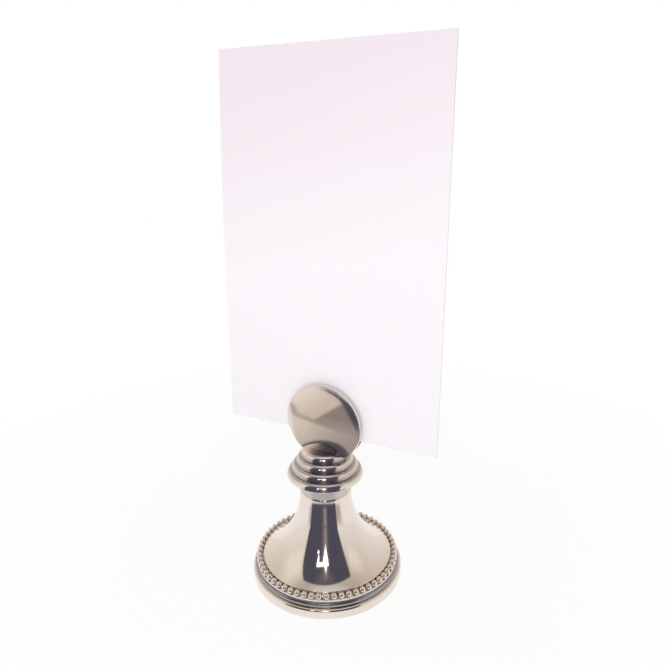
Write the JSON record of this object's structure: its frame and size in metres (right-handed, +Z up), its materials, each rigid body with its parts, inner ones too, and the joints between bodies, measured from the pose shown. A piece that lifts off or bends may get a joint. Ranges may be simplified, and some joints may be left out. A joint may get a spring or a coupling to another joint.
{
  "type": "place card holder",
  "caption": "Weighted bell-shaped silver place card holder with a beaded border, a ringed collar and upright discs that hold a blank card in the slot between them.",
  "frame": {"origin": "centre of the foot, on the table", "axes": "+Z up along the axis of the bell, -Y the way the front disc and the face of the card look, +X to their right seen from the front"},
  "size_m": [0.0551, 0.0374, 0.1239],
  "materials": {
    "silver": "polished",
    "loading": "matte",
    "closing_plate": "satin",
    "baize": "felted",
    "card": "smooth"
  },
  "bodies": {
    "holder": {"foot_band": "silver", "rim_moulding": "silver", "bead_border": "silver", "bell_body": "silver", "stepped_collar": "silver", "front_disc": "silver", "rear_disc": "silver", "card_seat": "silver", "load_fill": "loading", "base_plate": "closing_plate", "baize_pad": "baize"},
    "card": {"place_card": "card"}
  },
  "joints": [
    {"name": "card_lift", "type": "slide", "parent": "holder", "child": "card", "axis": [0, 0.0703, 0.9975], "range_m": [0, 0.0137]}
  ]
}
